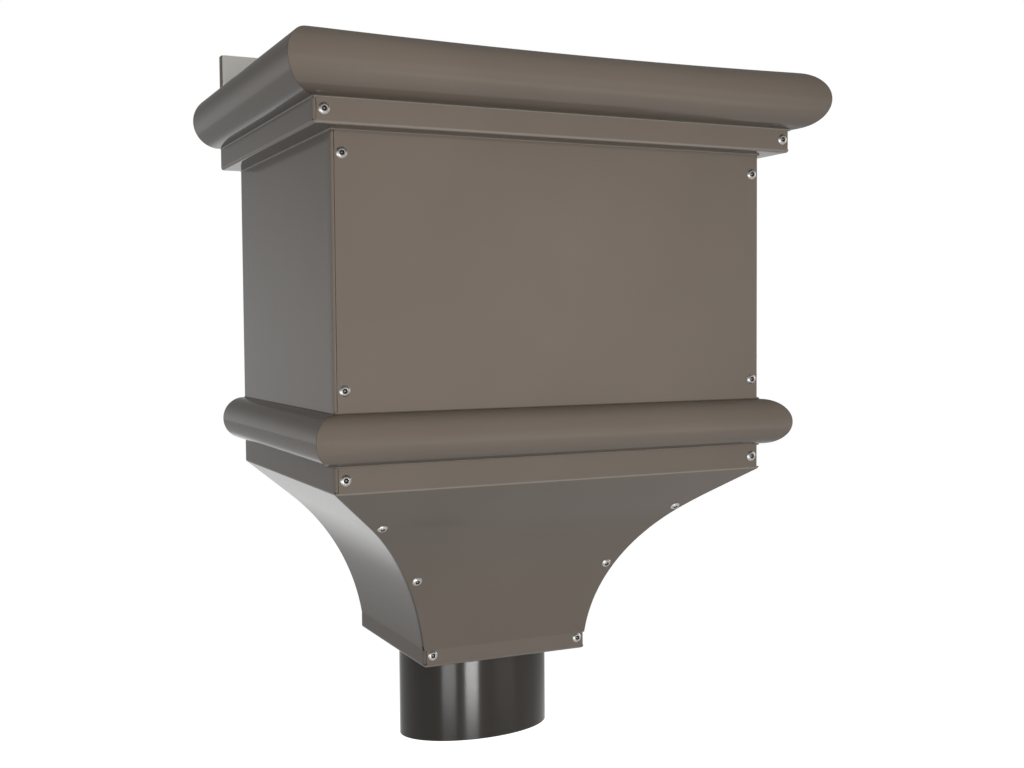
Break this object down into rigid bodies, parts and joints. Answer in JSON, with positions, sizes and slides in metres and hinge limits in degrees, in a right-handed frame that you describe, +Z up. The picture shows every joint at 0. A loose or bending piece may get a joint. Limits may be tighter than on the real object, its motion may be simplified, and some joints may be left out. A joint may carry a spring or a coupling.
{
  "type": "rainwater hopper",
  "caption": "Rainwater hopper in folded bronze-brown sheet, with a half-round rim, a waist roll, a concave funnel and a round outlet spigot.",
  "frame": {"origin": "midway between the two wall fixings, on the rear face of the back plate", "axes": "+X to the right along the front, +Y towards the wall, +Z up"},
  "size_m": [0.3436, 0.2382, 0.4668],
  "materials": {
    "bronze_paint": "semi-gloss bronze-brown coating on aluminium sheet",
    "rivet_aluminium": "bare bright aluminium"
  },
  "bodies": {
    "root": {"front_sheet": "bronze_paint", "left_side_sheet": "bronze_paint", "right_side_sheet": "bronze_paint", "back_plate": "bronze_paint", "outlet_plate": "bronze_paint", "outlet_spigot": "bronze_paint", "rivets": "rivet_aluminium"}
  },
  "joints": []
}
